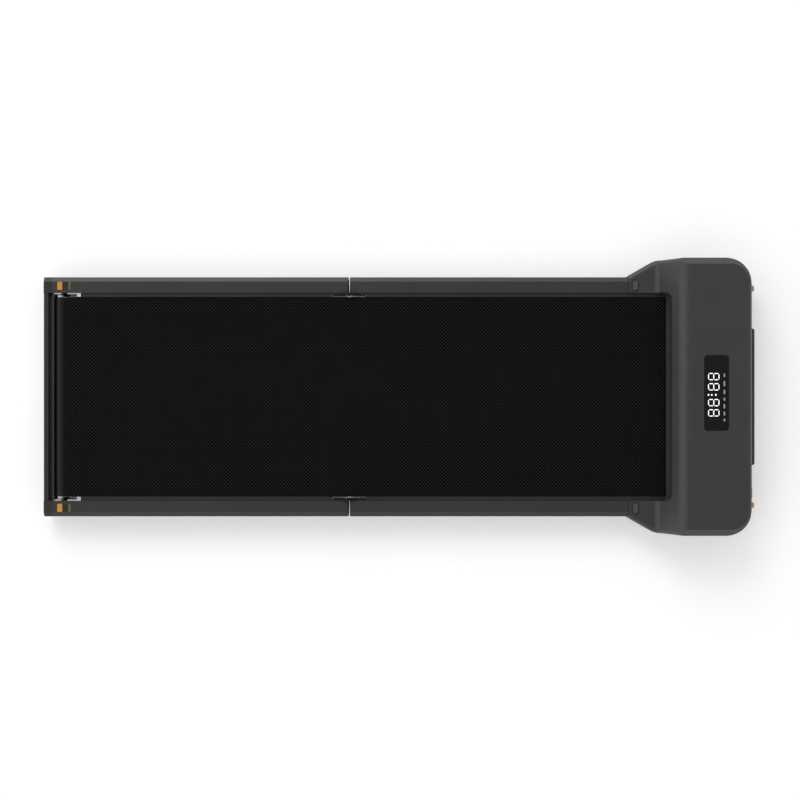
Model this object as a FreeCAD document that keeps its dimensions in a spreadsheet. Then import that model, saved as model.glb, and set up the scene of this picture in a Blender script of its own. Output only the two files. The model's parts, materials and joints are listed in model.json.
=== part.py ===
import FreeCAD, Part
import os
import re
from math import acos, atan2, cos, hypot, pi, sin
import Sketcher
from FreeCAD import Rotation, Vector

# Folding walking pad. X runs along the belt with the motor head at +X, Y across, Z up from the floor.
SIZES = {
    # overall envelope and fold
    "overall_length": 1432,
    "overall_height": 129,
    "head_width": 547,
    "rear_half_length": 613,
    "fold_gap": 3.2,
    # side rails
    "rail_span": 480,
    "rail_width": 31.5,
    "rail_top": 60.5,
    "rail_clearance": 10,
    "rail_wall": 2.5,
    "bevel_width": 9,
    "bevel_drop": 5,
    "ledge_width": 8,
    "ledge_drop": 3,
    "ledge_thickness": 2.5,
    "rail_inside_head": 75,
    "rail_end_bevel": 2.2,
    "end_cap_length": 18,
    "cap_plug_length": 14,
    # deck, belt and rollers
    "deck_width": 402,
    "deck_thickness": 12,
    "belt_width": 400,
    "belt_thickness": 1.8,
    "belt_drop": 4,
    "belt_gap": 0.3,
    "roller_radius": 20,
    "roller_wall": 3,
    "roller_overhang": 0.5,
    "end_web": 10,
    "rear_roller_inset": 42,
    "drive_roller_setback": 147,
    "tube_width": 40,
    "tube_height": 20,
    "tube_wall": 2,
    # fold hinge
    "pin_radius": 3,
    "pin_head": 1,
    "pin_rim": 1.5,
    "eye_radius": 5.5,
    "eye_thickness": 2.3,
    "eye_gap": 0.3,
    "leaf_start": 7,
    "leaf_length": 32,
    "leaf_lift": 1,
    "leaf_drop": 0.5,
    "arm_length": 20,
    "arm_depth": 12,
    "ledge_notch_gap": 2,
    "fold_room": 8,
    "block_length": 40,
    "running_fit": 0.05,
    "seat_fit": 0.15,
    # motor hood and pan
    "head_length": 249,
    "hood_wall": 3,
    "shoulder_lip": 3.5,
    "flare_length": 52,
    "flare_radius": 34,
    "corner_radius": 50,
    "front_setback": 20,
    "parting_height": 50,
    "pan_clearance": 6,
    "ramp_foot": 57,
    "ramp_run": 37.8,
    "ramp_foot_radius": 15,
    "ramp_top_radius": 25,
    "hood_edge_radius": 9,
    "hood_chamfer": 13,
    "front_ease": 9,
    "trim_margin": 1,
    "mouth_depth": 79,
    "mouth_radius": 15,
    "mouth_lip": 4,
    "lip_bottom": 58.5,
    "lip_top": 61.5,
    "rail_sleeve_gap": 0.3,
    # display
    "lens_centre_y": 7.4,
    "lens_setback": 88.4,
    "lens_length": 148,
    "lens_width": 48.4,
    "lens_radius": 7,
    "lens_thickness": 2,
    "lens_gap": 0.2,
    "window_margin": 7,
    "board_thickness": 1.6,
    # drive
    "plate_thickness": 4,
    "plate_front_gap": 9.5,
    "plate_rear_reach": 45,
    "drive_shaft_radius": 8.5,
    "bearing_radius": 17.5,
    "bearing_width": 10,
    "roller_pulley_radius": 22,
    "motor_pulley_radius": 11,
    "pulley_width": 14,
    "rib_pitch": 2.34,
    "rib_depth": 2,
    "drive_belt_thickness": 3,
    "drive_belt_gap": 0.3,
    "pulley_gap": 5,
    "motor_setback": 80,
    "motor_height": 72,
    "motor_radius": 36,
    "motor_length": 130,
    "motor_shaft_radius": 6,
    # controller
    "box_length": 130,
    "box_width": 84,
    "box_height": 40,
    "sink_fin": 4,
    "sink_pitch": 12,
    "sink_height": 26,
    # front face
    "bumper_width": 276,
    "bumper_reach": 9,
    "bumper_bottom": 18,
    "bumper_top": 50,
    "wheel_y": 219,
    "wheel_radius": 24,
    "wheel_width": 11,
    "wheel_height": 30,
    "wheel_gap": 1.5,
    "hub_radius": 17,
    "wheel_axle_radius": 4,
    "fork_wall": 3,
    "inlet_y": 160,
    "inlet_height": 30,
    "inlet_width": 27,
    "inlet_tall": 20,
    "inlet_depth": 18,
    "inlet_wall": 1.8,
    "flange_rim": 3,
    "switch_y": 193,
    "switch_width": 13,
    "switch_tall": 21,
    "switch_depth": 16,
    "rocker_gap": 0.4,
    "rocker_pivot": 1.6,
    "rocker_setback": 4,
    # rear end
    "bar_wall": 10,
    "bar_groove": 7.4,
    "bar_lip": 3.5,
    "bar_top": 59,
    "bar_shelf": 47,
    "bar_toe": 3,
    "bar_raise": 1,
    "bracket_thickness": 2.4,
    "bracket_length": 53.5,
    "bracket_top": 59,
    "bracket_reach": 33,
    "bracket_drop": 16,
    "lug_length": 8,
    "axle_radius": 6,
    "roller_bearing_width": 8,
    "bolt_radius": 2.5,
    # rests
    "foot_radius": 12,
    "pad_length": 19,
    "pad_width": 9,
    "pad_ring": 3,
    "pad_recess": 1,
    "pad_gap": 0.3,
    "pad_setback": 12,
    "pad_inset": 3,
    "screw_radius": 2.5,
    "boss_radius": 6,
    "screw_bite": 16,
    "vent_length": 48,
    "vent_width": 5,
    "vent_pitch": 20,
    "boss_inset": 12,
    "rear_boss_setback": 135,
    "front_boss_setback": 63,
}

doc = FreeCAD.newDocument("walking_pad")
sheet = doc.addObject("Spreadsheet::Sheet", "Sizes")
for row, (alias, number) in enumerate(SIZES.items(), start=1):
    sheet.set(f"A{row}", alias)
    sheet.set(f"B{row}", str(number))
    sheet.setAlias(f"B{row}", alias)
doc.recompute()

# Places that several pieces share, written once as formulas of the sheet.
REAR_END = "(-overall_length / 2)"
FRONT_END = "(overall_length / 2)"
FOLD = "(rear_half_length - overall_length / 2)"
RAIL_IN = "(rail_span / 2 - rail_width)"
RAIL_OUT = "(rail_span / 2)"
BELT_TOP = "(rail_top - belt_drop)"
BELT_IN = f"({BELT_TOP} - belt_thickness)"
DECK_TOP = f"({BELT_IN} - belt_gap)"
DECK_LOW = f"({DECK_TOP} - deck_thickness)"
ROLLER_Z = f"({BELT_IN} - belt_gap - roller_radius)"
WRAP_IN = "(roller_radius + belt_gap)"
WRAP_OUT = f"({WRAP_IN} + belt_thickness)"
FACE_X = f"({FRONT_END} - bumper_reach)"
HEAD_X = f"({FACE_X} - head_length)"
DRIVE_X = f"({FACE_X} - drive_roller_setback)"
REAR_ROLLER_X = f"({REAR_END} + rear_roller_inset)"
RAIL_FRONT = f"({HEAD_X} + rail_inside_head)"
RAIL_REAR = f"({REAR_END} + end_cap_length)"
PLATE_REAR = f"({RAIL_FRONT} - plate_rear_reach)"
SHOULDER_TOP = "(rail_top + rail_sleeve_gap + hood_wall)"
SHOULDER_Y = f"({RAIL_OUT} + shoulder_lip)"
RAMP_X = f"({HEAD_X} + ramp_foot)"
MOUTH_X = f"({HEAD_X} + mouth_depth)"
HINGE_Z = "(rail_top + fold_room / 2)"
LEAF_IN = f"({RAIL_IN} - 2 * eye_thickness - 2 * eye_gap)"
LEAF_TOP = "(rail_top - leaf_drop)"
PLATE_IN = f"({RAIL_IN} - plate_thickness)"
MOTOR_X = f"({FACE_X} - motor_setback)"
PULLEY_IN = f"({PLATE_IN} + bearing_width + pulley_gap)"
PULLEY_OUT = f"({PULLEY_IN} + pulley_width)"
WHEEL_X = f"({FRONT_END} - wheel_radius)"
LENS_X = f"({FACE_X} - lens_setback)"
LENS_LOW = "(overall_height - lens_gap - lens_thickness)"
PAN_FLOOR = "(pan_clearance + hood_wall)"
PAD_X = f"({HEAD_X} + pad_setback)"
PAD_Y = f"(({RAIL_IN} + {SHOULDER_Y}) / 2 - pad_inset)"
BOLT_Y = f"({RAIL_IN} - bracket_thickness - bolt_radius - running_fit * 2)"
BRACKET_FRONT = f"({REAR_ROLLER_X} + bracket_reach)"

WORD = re.compile(r"[a-z][a-z0-9_]*")
nodes = {}


def bound(formula):
    """Point the size names in a formula at the sheet."""
    return WORD.sub(lambda found: "Sizes." + found[0] if found[0] in SIZES else found[0], formula)


def amount(formula):
    return float(sheet.evalExpression(formula))


def bind(thing, prop, formula):
    thing.setExpression(prop, bound(formula))


def node(name, thing):
    """Keep an object as a sub-part of the machine."""
    thing.Label = name
    nodes[name] = thing
    return thing


def new_body(name, at=("0", "0", "0")):
    body = doc.addObject("PartDesign::Body", name)
    for axis, formula in zip("xyz", at):
        bind(body, "Placement.Base." + axis, formula)
    return body


def fix_point(sketch, geometry, spot, corner):
    """Hold one point of a sketch at a place given by two formulas."""
    for kind, formula in zip(("DistanceX", "DistanceY"), corner):
        index = sketch.addConstraint(Sketcher.Constraint(kind, geometry, spot, amount(formula)))
        label = f"{kind}{index}"
        sketch.renameConstraint(index, label)
        bind(sketch, "Constraints." + label, formula)


def fix_radius(sketch, geometry, formula):
    index = sketch.addConstraint(Sketcher.Constraint("Radius", geometry, amount(formula)))
    label = f"radius{index}"
    sketch.renameConstraint(index, label)
    bind(sketch, "Constraints." + label, formula)


def new_sketch(body, plane, lift="0"):
    sketch = body.newObject("Sketcher::SketchObject", body.Name + "_sketch")
    support = [part for part in body.Origin.OriginFeatures if part.Role == plane + "_Plane"][0]
    sketch.AttachmentSupport = (support, [""])
    sketch.MapMode = "FlatFace"
    bind(sketch, "AttachmentOffset.Base.z", lift)
    return sketch


def draw(body, plane, loops, circles=(), lift="0"):
    """Draw closed polygons, and circles as (u, v, radius), on one of the body's planes."""
    sketch = new_sketch(body, plane, lift)
    for corners in loops:
        first = sketch.GeometryCount
        count = len(corners)
        spots = [Vector(amount(u), amount(v), 0) for u, v in corners]
        for k in range(count):
            sketch.addGeometry(Part.LineSegment(spots[k], spots[(k + 1) % count]), False)
        for k in range(count):
            follower = first + (k + 1) % count
            sketch.addConstraint(Sketcher.Constraint("Coincident", first + k, 2, follower, 1))
        for k in range(count):
            fix_point(sketch, first + k, 1, corners[k])
    for u, v, radius in circles:
        centre = Vector(amount(u), amount(v), 0)
        ring = sketch.addGeometry(Part.Circle(centre, Vector(0, 0, 1), amount(radius)), False)
        fix_point(sketch, ring, 3, (u, v))
        fix_radius(sketch, ring, radius)
    return sketch


def pad(body, sketch, length, both_ways=False):
    feature = body.newObject("PartDesign::Pad", body.Name + "_pad")
    feature.Profile = sketch
    feature.SideType = "Symmetric" if both_ways else "One side"
    bind(feature, "Length", length)
    doc.recompute()
    return feature


def pocket(body, sketch, length=None, up=False):
    """Cut a sketch out of the body: right through, or to a length along or against its normal."""
    feature = body.newObject("PartDesign::Pocket", body.Name + "_pocket")
    feature.Profile = sketch
    if length is None:
        feature.SideType = "Symmetric"
        feature.Type = "ThroughAll"
    else:
        feature.SideType = "One side"
        feature.Reversed = up
        bind(feature, "Length", length)
    doc.recompute()
    return feature


def dress_edges(body, kind, prop, amount_of_it, wanted):
    """Fillet or chamfer the edges whose end points both pass a test."""
    base = body.Tip
    names = []
    for index, edge in enumerate(base.Shape.Edges, start=1):
        if len(edge.Vertexes) == 2 and wanted(edge.Vertexes[0].Point, edge.Vertexes[1].Point):
            names.append(f"Edge{index}")
    feature = body.newObject("PartDesign::" + kind, body.Name + "_" + kind.lower())
    feature.Base = (base, names)
    bind(feature, prop, amount_of_it)
    doc.recompute()
    return feature


def round_edges(body, radius, wanted):
    return dress_edges(body, "Fillet", "Radius", radius, wanted)


def bevel_edges(body, size, wanted):
    return dress_edges(body, "Chamfer", "Size", size, wanted)


def extrude(name, plane, loops, length, circles=(), lift="0", both_ways=False, at=("0", "0", "0")):
    body = new_body(name, at)
    pad(body, draw(body, plane, loops, circles, lift), length, both_ways)
    return body


def turn(name, profile, at=("0", "0", "0"), plane="XY", axis="V_Axis"):
    """Revolve a closed profile about an axis of its own sketch."""
    body = new_body(name, at)
    feature = body.newObject("PartDesign::Revolution", name + "_turned")
    feature.Profile = draw(body, plane, [profile])
    feature.ReferenceAxis = (feature.Profile[0], [axis])
    feature.Angle = 360
    doc.recompute()
    return body


def box(x0, x1, y0, y1, z0, z1):
    solid = doc.addObject("Part::Box", "block")
    for axis, side, low, high in (("x", "Length", x0, x1), ("y", "Width", y0, y1), ("z", "Height", z0, z1)):
        bind(solid, "Placement.Base." + axis, low)
        bind(solid, side, f"({high}) - ({low})")
    return solid


TURNS = {"x": Rotation(Vector(0, 1, 0), 90), "y": Rotation(Vector(1, 0, 0), -90), "z": Rotation()}


def rod(axis, x, y, z, radius, length):
    """A round bar that starts at a point and runs along +X, +Y or +Z."""
    solid = doc.addObject("Part::Cylinder", "rod")
    solid.Placement = FreeCAD.Placement(Vector(), TURNS[axis])
    for letter, formula in zip("xyz", (x, y, z)):
        bind(solid, "Placement.Base." + letter, formula)
    bind(solid, "Radius", radius)
    bind(solid, "Height", length)
    return solid


def fuse(*solids):
    joined = doc.addObject("Part::MultiFuse", "joined")
    joined.Shapes = list(solids)
    return joined


def cut(base, *tools):
    """Take the tools away from a solid one after another."""
    for tool in tools:
        left = doc.addObject("Part::Cut", "left_over")
        left.Base = base
        left.Tool = tool
        base = left
    return base


def common(first, second):
    shared = doc.addObject("Part::Common", "shared")
    shared.Base = first
    shared.Tool = second
    return shared


def group(*solids):
    several = doc.addObject("Part::Compound", "set")
    several.Links = list(solids)
    return several


def near(first, second, margin=0.01):
    return abs(first - second) < margin


def across(sign, low, high):
    """Order a span that is measured outwards from the centre line, for either side."""
    return (low, high) if sign > 0 else (f"-({high})", f"-({low})")


SIDES = (("left", 1), ("right", -1))


# Rails: one hollow section for all four, with a bevelled outer top edge and a ledge beside the belt.
def rail_outline(sign, with_ledge=True):
    bevel_z = "rail_top - bevel_drop"
    corners = [
        (RAIL_IN, "rail_clearance"),
        (RAIL_OUT, "rail_clearance"),
        (RAIL_OUT, bevel_z),
        (f"{RAIL_OUT} - bevel_width", "rail_top"),
        (RAIL_IN, "rail_top"),
    ]
    if with_ledge:
        ledge_z = "rail_top - ledge_drop"
        corners += [
            (RAIL_IN, ledge_z),
            (f"{RAIL_IN} - ledge_width", ledge_z),
            (f"{RAIL_IN} - ledge_width", f"{ledge_z} - ledge_thickness"),
            (RAIL_IN, f"{ledge_z} - ledge_thickness"),
        ]
    return [(f"{sign} * ({y})", z) for y, z in corners]


def rail_hollow(sign, skin):
    """The inside of the rail section, set in from its outside by a skin."""
    slant = "sqrt(bevel_width ^ 2 + bevel_drop ^ 2)"
    side_z = f"rail_top - bevel_drop * (bevel_width - {skin}) / bevel_width - {skin} * {slant} / bevel_width"
    top_y = f"{RAIL_OUT} - bevel_width - {skin} * ({slant} - bevel_width) / bevel_drop"
    corners = [
        (f"{RAIL_IN} + {skin}", f"rail_clearance + {skin}"),
        (f"{RAIL_OUT} - {skin}", f"rail_clearance + {skin}"),
        (f"{RAIL_OUT} - {skin}", side_z),
        (top_y, f"rail_top - {skin}"),
        (f"{RAIL_IN} + {skin}", f"rail_top - {skin}"),
    ]
    return [(f"{sign} * ({y})", z) for y, z in corners]


def make_rail(name, sign, start, finish, fold_end, inward, notches):
    body = new_body(name)
    section = draw(body, "YZ", [rail_outline(sign), rail_hollow(sign, "rail_wall")], lift=start)
    pad(body, section, f"{finish} - {start}")
    ledge_out = f"{sign} * {RAIL_IN}"
    ledge_in = f"{sign} * ({RAIL_IN} - ledge_width - 1)"
    gaps = [[(low, ledge_in), (high, ledge_in), (high, ledge_out), (low, ledge_out)] for low, high in notches]
    pocket(body, draw(body, "XY", gaps))
    corner = [
        (fold_end, "rail_top + 1"),
        (fold_end, "rail_top - rail_end_bevel"),
        (f"{fold_end} + {inward} * rail_end_bevel", "rail_top"),
        (f"{fold_end} + {inward} * rail_end_bevel", "rail_top + 1"),
    ]
    pocket(body, draw(body, "XZ", [corner]))
    return node(name, body)


def make_block(sign, fold_end, inward):
    """The plug in a rail's fold end that the hinge leaf is screwed to."""
    far = f"({fold_end} + {inward} * block_length)"
    close = f"({fold_end} + {inward} * rail_end_bevel)"
    start, finish = (close, far) if inward > 0 else (far, close)
    body = new_body("hinge_plug")
    outline = draw(body, "YZ", [rail_hollow(sign, "(rail_wall + seat_fit)")], lift=start)
    pad(body, outline, f"{finish} - {start}")
    return body


FRONT_CUT = f"({FOLD} + fold_gap / 2)"
REAR_CUT = f"({FOLD} - fold_gap / 2)"
NOTCH = "(leaf_length + ledge_notch_gap)"
for side, sign in SIDES:
    make_rail(f"{side}_front_rail", sign, FRONT_CUT, RAIL_FRONT, FRONT_CUT, 1,
              [(FOLD, f"{FOLD} + {NOTCH}")])
    make_rail(f"{side}_rear_rail", sign, RAIL_REAR, REAR_CUT, REAR_CUT, -1,
              [(f"{FOLD} - {NOTCH}", FOLD), (f"{RAIL_REAR} - 1", f"{BRACKET_FRONT} + 2")])
node("front_hinge_blocks", group(*[make_block(sign, FRONT_CUT, 1) for side, sign in SIDES]))
node("rear_hinge_blocks", group(*[make_block(sign, REAR_CUT, -1) for side, sign in SIDES]))


# Fold hinge in the strip beside the belt: a leaf on each rail's inner wall and one pin through both eyes.
def make_leaf(sign, inward, eye_in):
    """A hinge leaf whose eye stands above the rails, in a layer of its own across the machine."""
    close = f"({FOLD} + {inward} * leaf_start)"
    far = f"({FOLD} + {inward} * leaf_length)"
    rear, front = (close, far) if inward > 0 else (far, close)
    plate = box(rear, front, *across(sign, LEAF_IN, RAIL_IN), f"{DECK_LOW} + leaf_lift", LEAF_TOP)
    arm_x = f"{FOLD} + {inward} * arm_length"
    outline = [(FOLD, f"{HINGE_Z} + eye_radius"), (arm_x, LEAF_TOP), (arm_x, f"{LEAF_TOP} - arm_depth"),
               (FOLD, f"{HINGE_Z} - eye_radius")]
    arm = extrude("hinge_arm", "XZ", [outline], "eye_thickness", both_ways=True,
                  at=("0", f"{sign} * ({eye_in} + eye_thickness / 2)", "0"))
    low, high = across(sign, eye_in, f"{eye_in} + eye_thickness")
    eye = rod("y", FOLD, low, HINGE_Z, "eye_radius", "eye_thickness")
    bore = rod("y", FOLD, low, HINGE_Z, "pin_radius + running_fit", "eye_thickness")
    return cut(fuse(plate, arm, eye), bore)


REAR_EYE = f"({RAIL_IN} - eye_gap - eye_thickness)"
node("front_hinge_leaves", group(*[make_leaf(sign, 1, LEAF_IN) for side, sign in SIDES]))
node("rear_hinge_leaves", group(*[make_leaf(sign, -1, REAR_EYE) for side, sign in SIDES]))
pins = []
for side, sign in SIDES:
    low, high = across(sign, LEAF_IN, f"{REAR_EYE} + eye_thickness")
    head_low, head_high = across(sign, f"{LEAF_IN} - pin_head", LEAF_IN)
    shank = rod("y", FOLD, low, HINGE_Z, "pin_radius", f"({high}) - ({low})")
    head = rod("y", FOLD, head_low, HINGE_Z, "pin_radius + pin_rim", f"({head_high}) - ({head_low})")
    pins.append(fuse(shank, head))
node("fold_pins", group(*pins))


# Decks and cross tubes inside the belt loop.
def make_deck(name, start, finish):
    body = extrude(name, "XY", [[(start, "-deck_width / 2"), (finish, "-deck_width / 2"),
                                 (finish, "deck_width / 2"), (start, "deck_width / 2")]],
                   "deck_thickness", lift=DECK_LOW)
    top = amount(DECK_TOP)
    round_edges(body, "deck_thickness / 3",
                lambda a, b: near(a.z, top) and near(b.z, top) and near(a.x, b.x))
    return node(name, body)


DECK_FRONT = f"({DRIVE_X} - {WRAP_OUT} - 2)"
make_deck("front_deck", f"({FOLD} + fold_gap)", DECK_FRONT)
make_deck("rear_deck", f"({BRACKET_FRONT} + 3)", f"({FOLD} - fold_gap)")


def cross_tube(x):
    """A square tube between the rails, given by the middle of its width."""
    low, high = f"{x} - tube_width / 2", f"{x} + tube_width / 2"
    skin = box(low, high, f"-{RAIL_IN}", RAIL_IN, f"{DECK_LOW} - tube_height", DECK_LOW)
    room = box(f"{low} + tube_wall", f"{high} - tube_wall", f"-{RAIL_IN} - 1", f"{RAIL_IN} + 1",
               f"{DECK_LOW} - tube_height + tube_wall", f"{DECK_LOW} - tube_wall")
    return cut(skin, room)


node("front_cross_tubes", group(cross_tube(f"({FOLD} + 60)"), cross_tube(f"(({FOLD} + {DECK_FRONT}) / 2)"),
                                cross_tube(f"({PLATE_REAR} - tube_width)")))
node("rear_cross_tubes", group(cross_tube(f"({FOLD} - 60)"), cross_tube(f"(({FOLD} + {BRACKET_FRONT}) / 2)"),
                               cross_tube(f"({BRACKET_FRONT} + 40)")))


# Running belt: each half runs over its deck, round its roller and back underneath.
def make_belt(name, seam, centre, ahead):
    low, high = (seam, centre) if ahead else (centre, seam)
    half = "belt_width / 2"
    outside = fuse(box(low, high, f"-{half}", half, f"{ROLLER_Z} - {WRAP_OUT}", f"{ROLLER_Z} + {WRAP_OUT}"),
                   rod("y", centre, f"-{half}", ROLLER_Z, WRAP_OUT, "belt_width"))
    in_low, in_high = (f"{low} - 1", high) if ahead else (low, f"{high} + 1")
    inside = fuse(box(in_low, in_high, f"-{half} - 1", f"{half} + 1",
                      f"{ROLLER_Z} - {WRAP_IN}", f"{ROLLER_Z} + {WRAP_IN}"),
                  rod("y", centre, f"-{half} - 1", ROLLER_Z, WRAP_IN, "belt_width + 2"))
    return node(name, cut(outside, inside))


make_belt("front_belt", FRONT_CUT, DRIVE_X, True)
make_belt("rear_belt", REAR_CUT, REAR_ROLLER_X, False)

# Rear roller on its fixed axle, held in two zinc brackets with pull bolts.
TUBE_HALF = "(belt_width / 2 + roller_overhang)"
node("rear_roller_tube", turn("rear_roller_tube", [
    ("roller_radius - roller_wall", f"-{TUBE_HALF}"),
    ("roller_radius", f"-{TUBE_HALF}"),
    ("roller_radius", TUBE_HALF),
    ("roller_radius - roller_wall", TUBE_HALF)], (REAR_ROLLER_X, "0", ROLLER_Z)))
plugs = []
for sign in (1, -1):
    low, high = across(sign, f"{TUBE_HALF} - roller_bearing_width", TUBE_HALF)
    ring = rod("y", REAR_ROLLER_X, low, ROLLER_Z, "roller_radius - roller_wall - running_fit",
               "roller_bearing_width")
    bore = rod("y", REAR_ROLLER_X, low, ROLLER_Z, "axle_radius + running_fit", "roller_bearing_width")
    plugs.append(cut(ring, bore))
node("rear_roller_bearings", group(*plugs))

bolts = []
axle_holes = []
for side, sign in SIDES:
    low, high = across(sign, f"{RAIL_IN} - bracket_thickness", RAIL_IN)
    rear, front = f"({BRACKET_FRONT} - bracket_length)", BRACKET_FRONT
    base_z = f"({ROLLER_Z} - bracket_drop)"
    slot = "(axle_radius + seat_fit)"
    plate = box(rear, front, low, high, base_z, "bracket_top")
    lug_low, lug_high = across(sign, "belt_width / 2 + 0.7", f"{RAIL_IN} - bracket_thickness / 2")
    lug = box(f"{front} - lug_length", front, lug_low, lug_high, base_z, "bracket_top")
    notch = box(f"{REAR_ROLLER_X} - {slot}", f"{REAR_ROLLER_X} + {slot}", f"{low} - 1", f"{high} + 1",
                ROLLER_Z, "bracket_top + 1")
    seat = rod("y", REAR_ROLLER_X, f"{low} - 1", ROLLER_Z, slot, "bracket_thickness + 2")
    bolt_y = f"{sign} * {BOLT_Y}"
    hole = rod("x", f"{front} - lug_length - 1", bolt_y, ROLLER_Z, "bolt_radius + running_fit",
               "lug_length + 2")
    node(f"{side}_tension_bracket", cut(fuse(plate, lug), notch, seat, hole))
    bolt_end = f"({REAR_ROLLER_X} - axle_radius - 4)"
    shank = rod("x", bolt_end, bolt_y, ROLLER_Z, "bolt_radius", f"{front} - {bolt_end}")
    head = doc.addObject("Part::Prism", "bolt_head")
    head.Polygon = 6
    head.Placement = FreeCAD.Placement(Vector(), TURNS["x"])
    bind(head, "Placement.Base.x", front)
    bind(head, "Placement.Base.y", bolt_y)
    bind(head, "Placement.Base.z", ROLLER_Z)
    bind(head, "Circumradius", "bolt_radius * 1.06")
    bind(head, "Height", "bolt_radius * 2")
    bolts.append(fuse(shank, head))
    axle_holes.append(rod("x", f"{REAR_ROLLER_X} - axle_radius - 1", bolt_y, ROLLER_Z,
                          "bolt_radius + running_fit", "axle_radius * 2 + 2"))
node("tension_bolts", group(*bolts))
node("rear_axle", cut(rod("y", REAR_ROLLER_X, f"-{RAIL_IN}", ROLLER_Z, "axle_radius", f"2 * {RAIL_IN}"),
                      *axle_holes))

# Rear end bar: a broad rear wall, a groove, a thin lip that guards the belt, and a toe under the roller.
bar_in = f"({REAR_END} + bar_wall)"
lip_out = f"({bar_in} + bar_groove)"
lip_in = f"({lip_out} + bar_lip)"
bar_low = "(rail_clearance + bar_raise)"
bar = extrude("rear_end_bar", "XZ", [[
    (REAR_END, bar_low), (lip_out, bar_low), (lip_out, f"{bar_low} + bar_toe"),
    (bar_in, f"{bar_low} + bar_toe"), (bar_in, "bar_shelf"),
    (lip_in, "bar_shelf"), (lip_in, "bar_top - 1"), (lip_out, "bar_top - 1"),
    (lip_out, "bar_shelf + bar_lip"), (bar_in, "bar_shelf + bar_lip"), (bar_in, "bar_top"),
    (REAR_END, "bar_top")]], f"2 * {RAIL_IN}", both_ways=True)
round_edges(bar, "bar_wall / 3",
            lambda a, b: near(a.x, b.x) and near(a.x, amount(REAR_END)) and near(a.z, b.z))
node("rear_end_bar", bar)
for side, sign in SIDES:
    cap = extrude(f"{side}_end_cap", "YZ", [rail_outline(sign, False)], "end_cap_length", lift=REAR_END)
    plug = draw(cap, "YZ", [rail_hollow(sign, "(rail_wall + seat_fit)")], lift=RAIL_REAR)
    pad(cap, plug, "cap_plug_length")
    round_edges(cap, "rail_wall",
                lambda a, b: near(a.x, amount(REAR_END)) and near(b.x, amount(REAR_END))
                and not (near(abs(a.y), amount(RAIL_IN)) and near(abs(b.y), amount(RAIL_IN))))
    node(f"{side}_end_cap", cap)


# Motor hood: plan outline, slanted front, ramp and shoulders, then the belt opening.
def head_plan(inset, ahead):
    """Plan outline of the head, set in by a skin, with its front moved ahead; the rear end stays open."""
    slope = f"((head_width / 2 - {SHOULDER_Y}) / flare_length)"
    turn_x = f"{HEAD_X} + flare_length + {inset} * (sqrt(1 + {slope} ^ 2) - 1) / {slope}"
    rear_x = HEAD_X if inset == "0" else f"{HEAD_X} - 1"
    rear_y = f"{SHOULDER_Y} - {inset} * sqrt(1 + {slope} ^ 2) - ({HEAD_X} - ({rear_x})) * {slope}"
    side_y = f"head_width / 2 - {inset}"
    front_x = f"{FACE_X} - {inset} + {ahead}"
    half = [(rear_x, rear_y), (turn_x, side_y), (front_x, side_y)]
    return [(x, f"-({y})") for x, y in half] + [(x, y) for x, y in reversed(half)]


def make_head(name, inset, low, high, slanted, ahead="0"):
    """A head-shaped block between two heights, with its corners rounded in plan."""
    body = new_body(name)
    pad(body, draw(body, "XY", [head_plan(inset, ahead)], lift=low), f"{high} - {low}")
    if slanted:
        front = f"({FACE_X} - {inset} + {ahead})"
        wedge = [(front, "parting_height"), (f"{front} + 5", "parting_height"),
                 (f"{front} + 5", "overall_height + 1"), (f"{front} - front_setback", "overall_height + 1"),
                 (f"{front} - front_setback", "overall_height")]
        pocket(body, draw(body, "XZ", [wedge]))
    side_y = amount(f"head_width / 2 - {inset}")
    middle = amount(f"{HEAD_X} + head_length / 2")
    round_edges(body, f"corner_radius - {inset}",
                lambda a, b: near(abs(a.y), side_y) and near(abs(b.y), side_y) and near(a.y, b.y)
                and a.x > middle and b.x > middle and not near(a.z, b.z))
    round_edges(body, f"flare_radius - {inset}",
                lambda a, b: near(abs(a.y), side_y) and near(abs(b.y), side_y) and near(a.x, b.x)
                and a.x < middle and not near(a.z, b.z))
    return body


def ramp_region(inset):
    """Side view of what is cleared away above the shoulders and the ramp."""
    rise = f"((overall_height - {SHOULDER_TOP}) / ramp_run)"
    shift = f"{inset} * (sqrt(1 + {rise} ^ 2) - 1) / {rise}"
    foot_z = f"{SHOULDER_TOP} - {inset}"
    top_z = f"overall_height - {inset}"
    foot_x = f"{RAMP_X} + {shift}"
    top_x = f"{RAMP_X} + ramp_run + {shift}"
    return [(f"{HEAD_X} - 5", foot_z), (foot_x, foot_z), (top_x, top_z),
            (top_x, "overall_height + 5"), (f"{HEAD_X} - 5", "overall_height + 5")]


hood = make_head("motor_hood_form", "0", "parting_height", "overall_height", True)
pocket(hood, draw(hood, "XZ", [ramp_region("0")]))
foot_x, foot_z = amount(RAMP_X), amount(SHOULDER_TOP)
round_edges(hood, "ramp_foot_radius",
            lambda a, b: near(a.x, foot_x) and near(b.x, foot_x) and near(a.z, foot_z) and near(b.z, foot_z))
crest_x, crest_z = amount(f"{RAMP_X} + ramp_run"), amount("overall_height")
round_edges(hood, "ramp_top_radius",
            lambda a, b: near(a.x, crest_x) and near(b.x, crest_x) and near(a.z, crest_z))
mouth_y = f"({RAIL_IN})"


def mouth(front, half):
    rear = f"{HEAD_X} - 5"
    return [(rear, f"-{half}"), (front, f"-{half}"), (front, half), (rear, half)]


def is_mouth_corner(front):
    x, y = amount(front), amount(mouth_y)
    return lambda a, b: near(a.x, x) and near(b.x, x) and near(abs(a.y), y) and near(a.y, b.y)


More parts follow.
